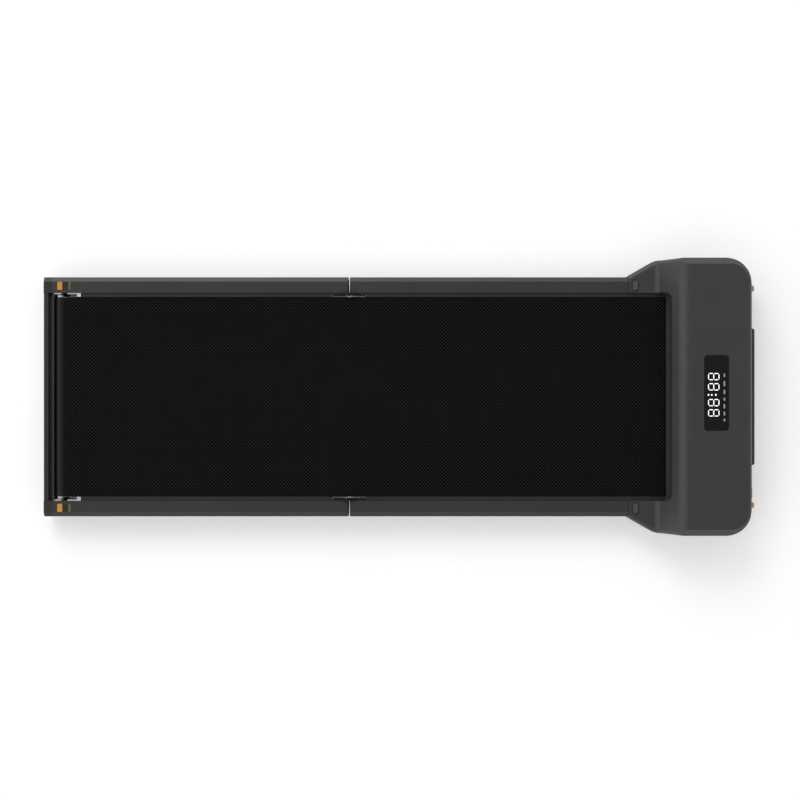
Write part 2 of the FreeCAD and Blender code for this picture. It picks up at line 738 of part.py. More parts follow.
pocket(hood, draw(hood, "XY", [mouth(f"{MOUTH_X} - mouth_lip", mouth_y)]))
round_edges(hood, "mouth_radius - mouth_lip", is_mouth_corner(f"{MOUTH_X} - mouth_lip"))
pocket(hood, draw(hood, "XY", [mouth(MOUTH_X, mouth_y)], lift="lip_top"), "overall_height", up=True)
round_edges(hood, "mouth_radius", is_mouth_corner(MOUTH_X))


def on_rim(a, b):
    """Edges round the outside of the hood's top surfaces."""
    low = min(a.z, b.z) < foot_z - 0.05
    seam = near(a.x, b.x) and a.x < crest_x + 40
    inner = max(abs(a.y), abs(b.y)) < amount(mouth_y) + 0.1 and max(a.x, b.x) < amount(MOUTH_X) + 0.1
    return not (low or seam or inner)


round_edges(hood, "hood_edge_radius", on_rim)


def rim_form(name, inset, top, leg):
    """A head block somewhat larger than the one it trims, chamfered round the top, without ramp or mouth."""
    block = make_head(name, f"({inset} - trim_margin)", "parting_height", top, True, "front_ease")
    top_z, rear_x = amount(top), amount(HEAD_X)
    bevel_edges(block, f"{leg} + trim_margin",
                lambda a, b: near(a.z, top_z) and near(b.z, top_z) and max(a.x, b.x) > rear_x)
    return block


def rounded_plate(name, x, y, length, width, radius, low, high):
    """A flat plate with rounded corners, given by its middle in plan."""
    rear, front = f"{x} - ({width}) / 2", f"{x} + ({width}) / 2"
    right, left = f"{y} - ({length}) / 2", f"{y} + ({length}) / 2"
    body = extrude(name, "XY", [[(rear, right), (front, right), (front, left), (rear, left)]],
                   f"{high} - {low}", lift=low)
    round_edges(body, radius, lambda a, b: near(a.x, b.x) and near(a.y, b.y))
    return body


def oval(x, y, length, width, low, high):
    """An upright block with round ends, long across the machine."""
    reach = f"(({length}) - ({width})) / 2"
    middle = box(f"{x} - ({width}) / 2", f"{x} + ({width}) / 2",
                 f"{y} - {reach}", f"{y} + {reach}", low, high)
    ends = [rod("z", x, f"{y} {step} {reach}", low, f"({width}) / 2", f"{high} - ({low})") for step in "+-"]
    return fuse(middle, *ends)


room = make_head("motor_hood_room", "hood_wall", "parting_height", "(overall_height - hood_wall)", True)
pocket(room, draw(room, "XZ", [ramp_region("hood_wall")]))
room_top = "(overall_height - hood_wall)"
room_crest = amount(ramp_region("hood_wall")[2][0])
round_edges(room, "ramp_top_radius - hood_wall",
            lambda a, b: near(a.x, room_crest) and near(b.x, room_crest) and near(a.z, amount(room_top)))
pocket(room, draw(room, "XY", [mouth(f"{MOUTH_X} + hood_wall", f"({mouth_y} + hood_wall)")]))


def rail_sleeves(low):
    return [box(f"{HEAD_X} - 1", f"{RAIL_FRONT} + rail_sleeve_gap",
                *across(sign, f"{RAIL_IN} - 0.02", f"{RAIL_OUT} + rail_sleeve_gap"),
                low, "rail_top + rail_sleeve_gap") for side, sign in SIDES]


def wheel_wells():
    half = "(wheel_width / 2 + wheel_gap)"
    return [box(f"{WHEEL_X} - wheel_radius - wheel_gap", f"{FRONT_END} + 5",
                f"{sign} * wheel_y - {half}", f"{sign} * wheel_y + {half}",
                "-1", "wheel_height + wheel_radius + wheel_gap") for side, sign in SIDES]


BOSSES = [(f"({FACE_X} - {back})", f"{sign} * (head_width / 2 - hood_wall - boss_radius - boss_inset)")
          for back in ("rear_boss_setback", "front_boss_setback") for sign in (1, -1)]
belt_slot = box(f"{MOUTH_X} - mouth_lip - mouth_radius", f"{MOUTH_X} + hood_wall + 1", f"-{RAIL_IN}", RAIL_IN,
                "parting_height - 1", "lip_bottom")
lens_seat = rounded_plate("lens_seat", LENS_X, "lens_centre_y", "lens_length + 2 * lens_gap",
                          "lens_width + 2 * lens_gap", "lens_radius + lens_gap",
                          LENS_LOW, "(overall_height + 1)")
window = box(f"{LENS_X} - lens_width / 2 + window_margin", f"{LENS_X} + lens_width / 2 - window_margin",
             "lens_centre_y - lens_length / 2 + window_margin",
             "lens_centre_y + lens_length / 2 - window_margin",
             "overall_height - hood_wall - 1", f"{LENS_LOW} + 1")
seats = [oval(PAD_X, f"{sign} * {PAD_Y}", "pad_length + 2 * pad_ring", "pad_width + 2 * pad_ring",
              f"{SHOULDER_TOP} - pad_recess", f"{SHOULDER_TOP} + 5") for side, sign in SIDES]
outside = common(hood, rim_form("hood_rim_form", "0", "overall_height", "hood_chamfer"))
inner_chamfer = "hood_chamfer - hood_wall * (2 - sqrt(2))"
inside = common(room, rim_form("room_rim_form", "hood_wall", room_top, inner_chamfer))
shell = cut(outside, inside, group(belt_slot, lens_seat, *seats), window,
            group(*rail_sleeves("parting_height - 1")), group(*wheel_wells()))
hood_bosses = [rod("z", x, y, "parting_height", "boss_radius",
                   "overall_height - parting_height - hood_wall / 2") for x, y in BOSSES]
hood_holes = [rod("z", x, y, "parting_height - 1", "screw_radius + running_fit", "20") for x, y in BOSSES]
node("motor_hood", cut(fuse(shell, *hood_bosses), group(*hood_holes)))
node("shoulder_pads", group(*[oval(PAD_X, f"{sign} * {PAD_Y}", "pad_length", "pad_width",
                                   f"{SHOULDER_TOP} - pad_recess", "rail_top + fold_room - pad_gap")
                              for side, sign in SIDES]))
node("display_lens", rounded_plate("display_lens", LENS_X, "lens_centre_y", "lens_length", "lens_width",
                                   "lens_radius", LENS_LOW, "(overall_height - lens_gap)"))
board_top = "(overall_height - hood_wall - 6)"
board = box(f"{LENS_X} - lens_width / 2", f"{LENS_X} + lens_width / 2",
            "lens_centre_y - lens_length / 2", "lens_centre_y + lens_length / 2",
            f"{board_top} - board_thickness", board_top)
lamps = box(f"{LENS_X} - lens_width / 2 + window_margin + seat_fit",
            f"{LENS_X} + lens_width / 2 - window_margin - seat_fit",
            "lens_centre_y - lens_length / 2 + window_margin + seat_fit",
            "lens_centre_y + lens_length / 2 - window_margin - seat_fit", board_top, LENS_LOW)
node("display_board", fuse(board, lamps))

# Motor pan: the lower tray of the head, with vent slots and the cut-outs in its front wall.
tray = make_head("motor_pan_form", "0", "pan_clearance", "parting_height", False)
round_edges(tray, "hood_edge_radius * 2 / 3",
            lambda a, b: near(a.z, amount("pan_clearance")) and near(b.z, a.z)
            and not (near(a.x, amount(HEAD_X)) and near(b.x, a.x)))
tray_room = make_head("motor_pan_room", "hood_wall", PAN_FLOOR, "(parting_height + 1)", False)
vents = [box(f"{MOTOR_X} - vent_length / 2", f"{MOTOR_X} + vent_length / 2",
             f"{step} * vent_pitch", f"{step} * vent_pitch + vent_width", "0", f"{PAN_FLOOR} + 1")
         for step in range(-6, 7)]
inlet_cut = box(f"{FACE_X} - hood_wall - 1", f"{FACE_X} + 1",
                "-inlet_y - inlet_width / 2 - seat_fit", "-inlet_y + inlet_width / 2 + seat_fit",
                "inlet_height - inlet_tall / 2 - seat_fit", "inlet_height + inlet_tall / 2 + seat_fit")
switch_cut = box(f"{FACE_X} - hood_wall - 1", f"{FACE_X} + 1",
                 "-switch_y - switch_width / 2 - inlet_wall - seat_fit",
                 "-switch_y + switch_width / 2 + inlet_wall + seat_fit",
                 "inlet_height - switch_tall / 2 - inlet_wall - seat_fit",
                 "inlet_height + switch_tall / 2 + inlet_wall + seat_fit")
tray_bosses = [rod("z", x, y, f"{PAN_FLOOR} - 1", "boss_radius", f"parting_height - {PAN_FLOOR} + 1")
               for x, y in BOSSES]
tray_holes = [rod("z", x, y, "0", "screw_radius + seat_fit", "parting_height + 1") for x, y in BOSSES]
head_seats = [rod("z", x, y, "0", "2 * screw_radius + seat_fit", "pan_clearance + screw_radius + 1")
              for x, y in BOSSES]
tray_shell = cut(tray, tray_room, group(*rail_sleeves(PAN_FLOOR)),
                 group(*wheel_wells(), inlet_cut, switch_cut, *vents))
node("motor_pan", cut(fuse(tray_shell, *tray_bosses), group(*tray_holes), group(*head_seats)))
screws = []
for x, y in BOSSES:
    head = rod("z", x, y, "pan_clearance + 1", "2 * screw_radius", "screw_radius")
    shank = rod("z", x, y, "pan_clearance + 1", "screw_radius", "parting_height - pan_clearance + screw_bite")
    screws.append(fuse(head, shank))
node("hood_screws", group(*screws))

# Side plates carry the drive roller and the motor.
PLATE_FRONT = f"({FACE_X} - hood_wall - plate_front_gap)"
low_top = "(rail_top - ledge_drop - ledge_thickness - 0.5)"
high_top = "(motor_height + motor_radius)"
plate_outline = [(PLATE_REAR, PAN_FLOOR), (PLATE_REAR, low_top), (f"{DRIVE_X} + 4", low_top),
                 (f"{MOTOR_X} - motor_radius + 8", high_top), (f"{MOTOR_X} + motor_radius - 8", high_top),
                 (PLATE_FRONT, "motor_height"), (PLATE_FRONT, PAN_FLOOR)]
for side, sign in SIDES:
    openings = [(DRIVE_X, ROLLER_Z, "bearing_radius + running_fit"),
                (MOTOR_X, "motor_height", "motor_shaft_radius + 6")]
    middle = ("0", f"{sign} * ({RAIL_IN} - plate_thickness / 2)", "0")
    node(f"{side}_side_plate", extrude(f"{side}_side_plate", "XZ", [plate_outline], "plate_thickness",
                                       openings, both_ways=True, at=middle))
node("head_crossbar", box(f"{PLATE_FRONT} - 10", PLATE_FRONT, f"-{PLATE_IN}", PLATE_IN,
                          PAN_FLOOR, f"{PAN_FLOOR} + 8"))
rings = []
for side, sign in SIDES:
    low, high = across(sign, PLATE_IN, f"{PLATE_IN} + bearing_width")
    rings.append(cut(rod("y", DRIVE_X, low, ROLLER_Z, "bearing_radius", "bearing_width"),
                     rod("y", DRIVE_X, low, ROLLER_Z, "drive_shaft_radius + running_fit", "bearing_width")))
node("drive_bearings", group(*rings))

# Drive roller, its shaft and pulley.
shaft_bore = "drive_shaft_radius + running_fit"
node("drive_roller_tube", turn("drive_roller_tube", [
    (shaft_bore, f"-{TUBE_HALF}"), ("roller_radius", f"-{TUBE_HALF}"),
    ("roller_radius", TUBE_HALF), (shaft_bore, TUBE_HALF),
    (shaft_bore, f"{TUBE_HALF} - end_web"), ("roller_radius - roller_wall", f"{TUBE_HALF} - end_web"),
    ("roller_radius - roller_wall", f"-{TUBE_HALF} + end_web"), (shaft_bore, f"-{TUBE_HALF} + end_web")],
    (DRIVE_X, "0", ROLLER_Z)))
shaft_end = f"({PLATE_IN} + bearing_width)"
node("drive_roller_shaft", rod("y", DRIVE_X, f"-{shaft_end}", ROLLER_Z, "drive_shaft_radius",
                               f"{shaft_end} + {PULLEY_OUT} + 2"))


def make_pulley(name, radius, bore, at):
    """A pulley with ribs for a ribbed belt."""
    ribs = 5
    edge = f"(pulley_width - {ribs} * rib_pitch) / 2"
    profile = [(bore, "0"), (radius, "0")]
    for k in range(ribs):
        profile.append((radius, f"{edge} + {k} * rib_pitch"))
        profile.append((f"{radius} - rib_depth", f"{edge} + ({k} + 0.5) * rib_pitch"))
    profile += [(radius, f"{edge} + {ribs} * rib_pitch"), (radius, "pulley_width"), (bore, "pulley_width")]
    return node(name, turn(name, profile, at))


make_pulley("roller_pulley", "roller_pulley_radius", shaft_bore, (DRIVE_X, PULLEY_IN, ROLLER_Z))
make_pulley("motor_pulley", "motor_pulley_radius", "motor_shaft_radius + running_fit",
            (MOTOR_X, PULLEY_IN, "motor_height"))


# Ribbed drive belt: two arcs and the straight runs that touch both.
def belt_ring(sketch, grow):
    ends = ((DRIVE_X, ROLLER_Z, f"roller_pulley_radius + {grow}"),
            (MOTOR_X, "motor_height", f"motor_pulley_radius + {grow}"))
    (x1, z1, big), (x2, z2, small) = [[amount(formula) for formula in end] for end in ends]
    heading = atan2(z2 - z1, x2 - x1)
    spread = acos((big - small) / hypot(x2 - x1, z2 - z1))
    up = Vector(0, 0, 1)
    wide, narrow = Part.Circle(Vector(x1, z1, 0), up, big), Part.Circle(Vector(x2, z2, 0), up, small)
    rim = [Part.ArcOfCircle(wide, heading + spread, heading - spread + 2 * pi),
           Part.ArcOfCircle(narrow, heading - spread, heading + spread)]
    runs = []
    for turned in (heading + spread, heading - spread):
        ray = Vector(cos(turned), sin(turned), 0)
        runs.append(Part.LineSegment(Vector(x1, z1, 0) + ray * big, Vector(x2, z2, 0) + ray * small))
    wheel, pinion, upper, lower = [sketch.addGeometry(piece, False) for piece in rim + runs]
    for line, line_end, arc, arc_end in ((upper, 1, wheel, 1), (lower, 1, wheel, 2),
                                         (upper, 2, pinion, 2), (lower, 2, pinion, 1)):
        sketch.addConstraint(Sketcher.Constraint("Tangent", line, line_end, arc, arc_end))
    for arc, (x, z, radius) in zip((wheel, pinion), ends):
        fix_point(sketch, arc, 3, (x, z))
        fix_radius(sketch, arc, radius)


strap = new_body("ribbed_belt", ("0", f"{PULLEY_IN} + pulley_width / 2", "0"))
strap_sketch = new_sketch(strap, "XZ")
belt_ring(strap_sketch, "drive_belt_gap")
belt_ring(strap_sketch, "drive_belt_gap + drive_belt_thickness")
pad(strap, strap_sketch, "pulley_width - 2", both_ways=True)
node("ribbed_belt", strap)

# Motor: ribbed can with a necked rear end, face-mounted on the left plate.
can = [("motor_shaft_radius + running_fit", "0"), ("motor_radius - 4", "0"), ("motor_radius - 4", "-8"),
       ("motor_radius", "-10")]
for k in range(6):
    start = f"(10 + (motor_length - 40) * ({k} + 0.5) / 6)"
    can += [("motor_radius", f"-{start}"), ("motor_radius - 2", f"-{start}"),
            ("motor_radius - 2", f"-{start} - 5"), ("motor_radius", f"-{start} - 5")]
can += [("motor_radius", "-motor_length + 18"), ("motor_radius - 8", "-motor_length"),
        ("motor_shaft_radius + running_fit", "-motor_length")]
node("drive_motor", turn("drive_motor", can, (MOTOR_X, PLATE_IN, "motor_height")))
node("motor_shaft", rod("y", MOTOR_X, f"{PLATE_IN} - motor_length", "motor_height", "motor_shaft_radius",
                        f"{PULLEY_OUT} - {PLATE_IN} + motor_length + 2"))

# Motor controller and its finned heat sink.
box_right = f"(-{PLATE_IN} + 12)"
box_front = f"({PLATE_FRONT} - 12)"
box_top = f"({PAN_FLOOR} + box_height)"
node("controller_box", box(f"{box_front} - box_width", box_front, box_right, f"{box_right} + box_length",
                           PAN_FLOOR, box_top))
fins = 10
comb = [(box_right, box_top), (f"{box_right} + {fins - 1} * sink_pitch + sink_fin", box_top)]
for k in reversed(range(fins)):
    fin = f"{box_right} + {k} * sink_pitch"
    comb += [(f"{fin} + sink_fin", f"{box_top} + sink_height"), (fin, f"{box_top} + sink_height")]
    if k:
        comb += [(fin, f"{box_top} + sink_fin"), (f"{fin} - sink_pitch + sink_fin", f"{box_top} + sink_fin")]
node("heat_sink", extrude("heat_sink", "YZ", [comb], "box_width - 12", lift=f"{box_front} - box_width + 6"))

# Front bumper, on which the folded machine stands.
bumper = extrude("front_bumper", "XZ", [[
    (FACE_X, "bumper_bottom"), (f"{FRONT_END} - 3", "bumper_bottom"), (FRONT_END, "bumper_bottom + 6"),
    (FRONT_END, "bumper_bottom + 18"), (f"{FRONT_END} - 5", "bumper_top"), (FACE_X, "bumper_top")]],
    "bumper_width", both_ways=True)
round_edges(bumper, "bumper_reach / 2",
            lambda a, b: near(a.y, b.y) and near(abs(a.y), amount("bumper_width / 2"))
            and min(a.x, b.x) > amount(FACE_X) + 1 and not near(a.z, b.z))
node("front_bumper", bumper)

# Transport wheels in their forks.
forks = []
axles = []
for side, sign in SIDES:
    middle = f"{sign} * wheel_y"
    well = "(wheel_width / 2 + wheel_gap)"
    back = f"({WHEEL_X} - wheel_radius - wheel_gap)"
    tip = f"({FACE_X} - hood_wall - 1.5)"
    top = "wheel_height + wheel_axle_radius * 3"
    block = box(f"{back} - fork_wall", tip, f"{middle} - {well} - fork_wall",
                f"{middle} + {well} + fork_wall", PAN_FLOOR, top)
    slot = box(back, f"{tip} + 1", f"{middle} - {well}", f"{middle} + {well}", "0", f"{top} + 1")
    pin = rod("y", WHEEL_X, f"{middle} - {well} - fork_wall", "wheel_height",
              "wheel_axle_radius + running_fit", f"2 * ({well} + fork_wall)")
    forks.append(cut(block, slot, pin))
    axles.append(rod("y", WHEEL_X, f"{middle} - {well} - fork_wall", "wheel_height", "wheel_axle_radius",
                     f"2 * ({well} + fork_wall)"))
    centre = (WHEEL_X, middle, "wheel_height")
    half = "wheel_width / 2"
    bore = "wheel_axle_radius + running_fit"
    rim_in = "hub_radius - running_fit"
    node(f"{side}_wheel_hub", turn(f"{side}_wheel_hub", [
        (bore, f"-{half}"), ("wheel_axle_radius * 2", f"-{half}"), ("wheel_axle_radius * 2", f"-{half} / 2"),
        ("hub_radius - 3", f"-{half} / 2"), ("hub_radius - 3", f"-{half}"), (rim_in, f"-{half}"),
        (rim_in, half), ("hub_radius - 3", half), ("hub_radius - 3", f"{half} / 2"),
        ("wheel_axle_radius * 2", f"{half} / 2"), ("wheel_axle_radius * 2", half), (bore, half)], centre))
    node(f"{side}_wheel_tyre", turn(f"{side}_wheel_tyre", [
        ("hub_radius", f"-{half}"), ("wheel_radius - 2", f"-{half}"), ("wheel_radius", f"-{half} + 2"),
        ("wheel_radius", f"{half} - 2"), ("wheel_radius - 2", half), ("hub_radius", half)], centre))
node("wheel_forks", group(*forks))
node("wheel_axles", group(*axles))

# Mains inlet with three blades, and the rocker switch beside it.
inlet_rear = f"({FACE_X} - inlet_depth)"


def socket(name, y, width, tall, depth):
    """A flanged box in the front wall, open to the front."""
    rear = f"({FACE_X} - {depth})"
    half_y, half_z = f"({width} / 2)", f"({tall} / 2)"
    core = box(rear, FACE_X, f"{y} - {half_y}", f"{y} + {half_y}",
               f"inlet_height - {half_z}", f"inlet_height + {half_z}")
    rim = box(FACE_X, f"{FACE_X} + inlet_wall",
              f"{y} - {half_y} - flange_rim", f"{y} + {half_y} + flange_rim",
              f"inlet_height - {half_z} - flange_rim", f"inlet_height + {half_z} + flange_rim")
    hollow = box(f"{rear} + inlet_wall", f"{FACE_X} + 5",
                 f"{y} - {half_y} + inlet_wall", f"{y} + {half_y} - inlet_wall",
                 f"inlet_height - {half_z} + inlet_wall", f"inlet_height + {half_z} - inlet_wall")
    return node(name, cut(fuse(core, rim), hollow))


socket("power_inlet", "-inlet_y", "inlet_width", "inlet_tall", "inlet_depth")
blades = []
for step, rise in ((-7, -2), (0, 2), (7, -2)):
    blades.append(box(f"{inlet_rear} + inlet_wall", f"{FACE_X} - 4",
                      f"-inlet_y + {step} - 1", f"-inlet_y + {step} + 1",
                      f"inlet_height + {rise} - 2", f"inlet_height + {rise} + 2"))
node("inlet_blades", group(*blades))
socket("switch_frame", "-switch_y", "(switch_width + 2 * inlet_wall)", "(switch_tall + 2 * inlet_wall)",
       "switch_depth")
ROCKER_X = f"({FACE_X} - rocker_setback)"
rocker = new_body("switch_rocker", (ROCKER_X, "-switch_y", "inlet_height"))
rocker.Placement = FreeCAD.Placement(rocker.Placement.Base, Rotation(Vector(0, 1, 0), -8))
tip_z = "(switch_tall / 2 - rocker_gap * 2.2)"
pad(rocker, draw(rocker, "XZ", [[("-3", f"-{tip_z} * 0.6"), ("5", f"-{tip_z}"), ("3.2", "0"), ("5", tip_z),
                                 ("-3", f"{tip_z} * 0.6")]]), "switch_width - 2 * rocker_gap", both_ways=True)
pivot = rod("y", ROCKER_X, "-switch_y - switch_width / 2 + seat_fit", "inlet_height", "rocker_pivot",
            "switch_width - 2 * seat_fit")
node("switch_rocker", fuse(rocker, pivot))


# Rubber feet.
def foot(x, y, top):
    solid = doc.addObject("Part::Cone", "foot")
    bind(solid, "Placement.Base.x", x)
    bind(solid, "Placement.Base.y", y)
    bind(solid, "Radius1", "foot_radius - 2")
    bind(solid, "Radius2", "foot_radius")
    bind(solid, "Height", top)
    return solid


RAIL_MID = f"(({RAIL_IN} + {RAIL_OUT}) / 2)"
node("front_feet", group(*[foot(x, f"{sign} * {RAIL_MID}", "rail_clearance")
                           for x in (f"{FOLD} + 30", f"{HEAD_X} - 80") for side, sign in SIDES]))
node("rear_feet", group(*[foot(x, f"{sign} * {RAIL_MID}", "rail_clearance")
                          for x in (f"{FOLD} - 30", f"{RAIL_REAR} + 50") for side, sign in SIDES]))
node("head_feet", group(*[foot(x, f"{sign} * ({RAIL_MID} - 4)", "pan_clearance")
                          for x in (f"{HEAD_X} + 40", f"{FACE_X} - 80") for side, sign in SIDES]))

doc.recompute()
os.makedirs("parts", exist_ok=True)
for name, thing in nodes.items():
    broken = [mark for mark in thing.State if mark in ("Invalid", "Error")]
    if broken or thing.Shape.isNull() or not thing.Shape.isValid() or not thing.Shape.Solids:
        raise RuntimeError(f"{name} did not build: {thing.State}")
for thing in doc.Objects:
    if "Invalid" in thing.State or "Error" in thing.State:
        raise RuntimeError(f"{thing.Name} did not build: {thing.State}")
for name, thing in nodes.items():
    thing.Shape.exportStep(f"parts/{name}.step")
print(len(nodes), "nodes,", sum(len(thing.Shape.Solids) for thing in nodes.values()), "solids")
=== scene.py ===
# %% [markdown]
# # Dressing a folding walking pad
# The walking pad lies flat on the floor: a motor head on the right, two hinged halves with side
# rails, and one black belt running over both. The construction arrives as a fixed frame of named
# solids. This lesson gives each solid its finish, swaps the stiff belt halves for one belt loop
# round both rollers, and adds the readout.

# %% Load the frame
import json
import math

import bmesh
import bpy
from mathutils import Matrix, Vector


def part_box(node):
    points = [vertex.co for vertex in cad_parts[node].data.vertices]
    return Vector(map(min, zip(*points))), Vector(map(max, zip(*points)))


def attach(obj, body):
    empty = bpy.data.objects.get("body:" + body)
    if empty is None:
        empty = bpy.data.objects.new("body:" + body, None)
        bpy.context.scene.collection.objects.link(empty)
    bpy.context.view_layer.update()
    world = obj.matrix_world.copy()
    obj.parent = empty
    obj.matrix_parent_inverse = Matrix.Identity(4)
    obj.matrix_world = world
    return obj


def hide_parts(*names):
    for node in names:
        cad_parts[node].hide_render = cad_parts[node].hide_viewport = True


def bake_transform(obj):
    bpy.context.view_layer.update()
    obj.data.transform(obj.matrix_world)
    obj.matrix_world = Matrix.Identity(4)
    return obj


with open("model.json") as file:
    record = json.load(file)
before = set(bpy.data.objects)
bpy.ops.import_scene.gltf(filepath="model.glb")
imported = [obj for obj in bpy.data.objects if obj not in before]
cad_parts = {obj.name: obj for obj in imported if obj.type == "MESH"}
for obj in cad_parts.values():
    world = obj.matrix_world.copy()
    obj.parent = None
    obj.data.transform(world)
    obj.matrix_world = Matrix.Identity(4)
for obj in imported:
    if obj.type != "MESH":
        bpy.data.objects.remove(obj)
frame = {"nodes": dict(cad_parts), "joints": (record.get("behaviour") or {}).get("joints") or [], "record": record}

MM = 0.001
scene = bpy.context.scene
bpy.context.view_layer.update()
joints = {joint["name"]: joint for joint in frame["joints"]}

# %% [markdown]
# ## Camera
# The pad is seen from straight above, so the camera hangs over its middle and looks down with +X
# to the right. A camera that isn't turned already looks along -Z in Blender. The focal length
# follows from how much a height changes the size in the picture: the tall motor head is drawn
# slightly larger than the belt.

# %% Camera over the middle
PICTURE_PIXELS = 800
FOCAL_PIXELS = 1425
SENSOR_MM = 36
CAMERA_PLACE = Vector((-0.9, -6.4, 2917)) * MM

camera_data = bpy.data.cameras.new("top_camera")
camera_data.sensor_width = SENSOR_MM
camera_data.lens = SENSOR_MM * FOCAL_PIXELS / PICTURE_PIXELS
camera = bpy.data.objects.new("top_camera", camera_data)
camera.location = CAMERA_PLACE
scene.collection.objects.link(camera)
scene.camera = camera
scene.view_settings.view_transform = "Standard"
print("camera:", round(camera_data.lens, 1), "mm at", round(camera.location.z, 3), "m")

# %% [markdown]
# ## Colours and shader nodes
# Paint and plastic colours are easiest to write as the hex codes that a screen shows. Shaders work
# with linear light, so one function turns a code into linear values. A second one adds a node,
# sets it up and links it, and a third starts a material, so that each finish below is a short
# recipe.

# %% Colour and node helpers
def linear(code):
    """Linear RGBA of an sRGB hex code."""
    channels = [int(code[i:i + 2], 16) / 255 for i in (1, 3, 5)]
    curve = [c / 12.92 if c <= 0.04045 else ((c + 0.055) / 1.055) ** 2.4 for c in channels]
    return (*curve, 1.0)


def add(tree, kind, inputs=None, **settings):
    """Adds a node, gives it its settings, and sets or links its input sockets."""
    node = tree.nodes.new("ShaderNode" + kind)
    for name, value in settings.items():
        setattr(node, name, value)
    for socket, value in (inputs or {}).items():
        if isinstance(value, bpy.types.NodeSocket):
            tree.links.new(value, node.inputs[socket])
        else:
            node.inputs[socket].default_value = value
    return node


def new_finish(name, **sockets):
    """A material with one principled shader, whose plain values are set on its own sockets."""
    finish = bpy.data.materials.new(name)
    finish.use_nodes = True
    tree = finish.node_tree
    tree.nodes.clear()
    values = {key.replace("_", " "): value for key, value in sockets.items()}
    shader = add(tree, "BsdfPrincipled", values)
    add(tree, "OutputMaterial", {"Surface": shader.outputs["BSDF"]})
    return finish, tree, shader


print("white is", linear("#ffffff")[:3])

# %% [markdown]
# ## A grained surface
# Nearly every part of the pad has a fine all-over grain: spark-eroded moulds leave it on plastic,
# powder coating leaves orange peel, and rubber and castings have their own. A noise at the grain's
# size can drive all three of its effects: a slight change of colour, of gloss, and of height. A
# second noise, many grains wide, adds the faint clouds of a real batch. The grains are finer than
# a pixel of the picture, so each is drawn somewhat coarser than it is, so that it still shows.

# %% Grain from noise
GRAIN_DETAIL = 3.0
GRAIN_ROUGHNESS = 0.6
CLOUD_GRAINS = 40
CLOUD_DETAIL = 2.0
TINT_SPAN = (0.7, 1.3)
GLOSS_SPAN = (0.3, 0.7)
RELIEF_STRENGTH = 0.6


def grained(tree, shader, dark, light, grain_mm, gloss, relief_mm):
    """Noise of grain_mm drives the colour, dark to light, the roughness, gloss's two, and bump."""
    place = add(tree, "TexCoord").outputs["Object"]
    noise = add(tree, "TexNoise", {"Vector": place, "Scale": 1 / (grain_mm * MM),
                                   "Detail": GRAIN_DETAIL, "Roughness": GRAIN_ROUGHNESS})
    clouds = add(tree, "TexNoise", {"Vector": place, "Scale": 1 / (grain_mm * MM * CLOUD_GRAINS),
                                    "Detail": CLOUD_DETAIL})
    both = add(tree, "Math", {0: noise.outputs["Fac"], 1: clouds.outputs["Fac"]}, operation="ADD")
    share = add(tree, "MapRange", {"Value": both.outputs[0], "From Min": TINT_SPAN[0],
                                   "From Max": TINT_SPAN[1]})
    colour = add(tree, "Mix", {0: share.outputs["Result"], 6: linear(dark), 7: linear(light)},
                 data_type="RGBA")
    shine = add(tree, "MapRange", {"Value": noise.outputs["Fac"], "From Min": GLOSS_SPAN[0],
                                   "From Max": GLOSS_SPAN[1], "To Min": gloss[0],
                                   "To Max": gloss[1]})
    bump = add(tree, "Bump", {"Height": noise.outputs["Fac"], "Distance": relief_mm * MM,
                              "Strength": RELIEF_STRENGTH})
    tree.links.new(colour.outputs[2], shader.inputs["Base Color"])
    tree.links.new(shine.outputs["Result"], shader.inputs["Roughness"])
    tree.links.new(bump.outputs["Normal"], shader.inputs["Normal"])
    return colour


def grained_finish(name, dark, light, grain_mm, gloss, relief_mm, **sockets):
    """A material that is only its grain."""
    finish, tree, shader = new_finish(name, **sockets)
    grained(tree, shader, dark, light, grain_mm, gloss, relief_mm)
    return finish


print("grain drawn with clouds", CLOUD_GRAINS, "grains wide")

# %% [markdown]
# ## Plastics
# The hood, the pan and the caps are injection-moulded ABS in dark grey with a fine spark texture.
# Hidden brackets, the switch and the inlet are black nylon, and the wheels' hubs are nylon filled
# with glass fibre. The display window is polished acrylic. Each needs only its colours and its
# grain, so each is one call.

# %% Moulded plastics
# Matte from above, with a soft sheen where an edge turns towards the light.
moulded_abs = grained_finish("moulded ABS, dark grey", "#313132", "#363638", 1.6, (0.40, 0.52),
                             0.05, IOR=1.5)
# The same texture in a darker batch, nearly black in the grooves.
cap_abs = grained_finish("moulded ABS, charcoal", "#1b1b1d", "#222224", 1.6, (0.42, 0.55),
                         0.05, IOR=1.5)
# Black and a little smoother, so its edges glint.
black_nylon = grained_finish("moulded nylon, black", "#131314", "#19191a", 1.2, (0.35, 0.48),
                             0.04, IOR=1.53)
# Dusty dark grey, because the fibres roughen the skin.
wheel_nylon = grained_finish("glass-filled nylon", "#2a2a2b", "#343435", 1.0, (0.45, 0.60),
                             0.06, IOR=1.53)
# Polished and nearly black, so it keeps a clear mirror.
smoked_acrylic = grained_finish("smoked acrylic", "#19191b", "#1c1c1e", 6.0, (0.06, 0.10),
                                0.004, IOR=1.49)
print("plastics:", moulded_abs.name, "and four more")

# %% [markdown]
# ## Metals and coatings
# The tension brackets, bolts and bearings are zinc-plated steel. Pins, plates and tubes inside are
# steel with a black finish, the motor is enamelled, the heat sink is bare aluminium, and the
# inlet's blades are brass. A metal is told by its mirror, so these are fully metallic, while paint
# and black finish are not.

# %% Metals
# Bright and slightly cloudy.
zinc_plate = grained_finish("zinc-plated steel", "#c6c9cc", "#e6e8ea", 2.0, (0.42, 0.58),
                            0.03, Metallic=1.0)
# Dull black that hardly mirrors.
black_steel = grained_finish("black-finished steel", "#17171a", "#202023", 1.5, (0.60, 0.75),
                             0.05, IOR=1.5, Specular_IOR_Level=0.15)
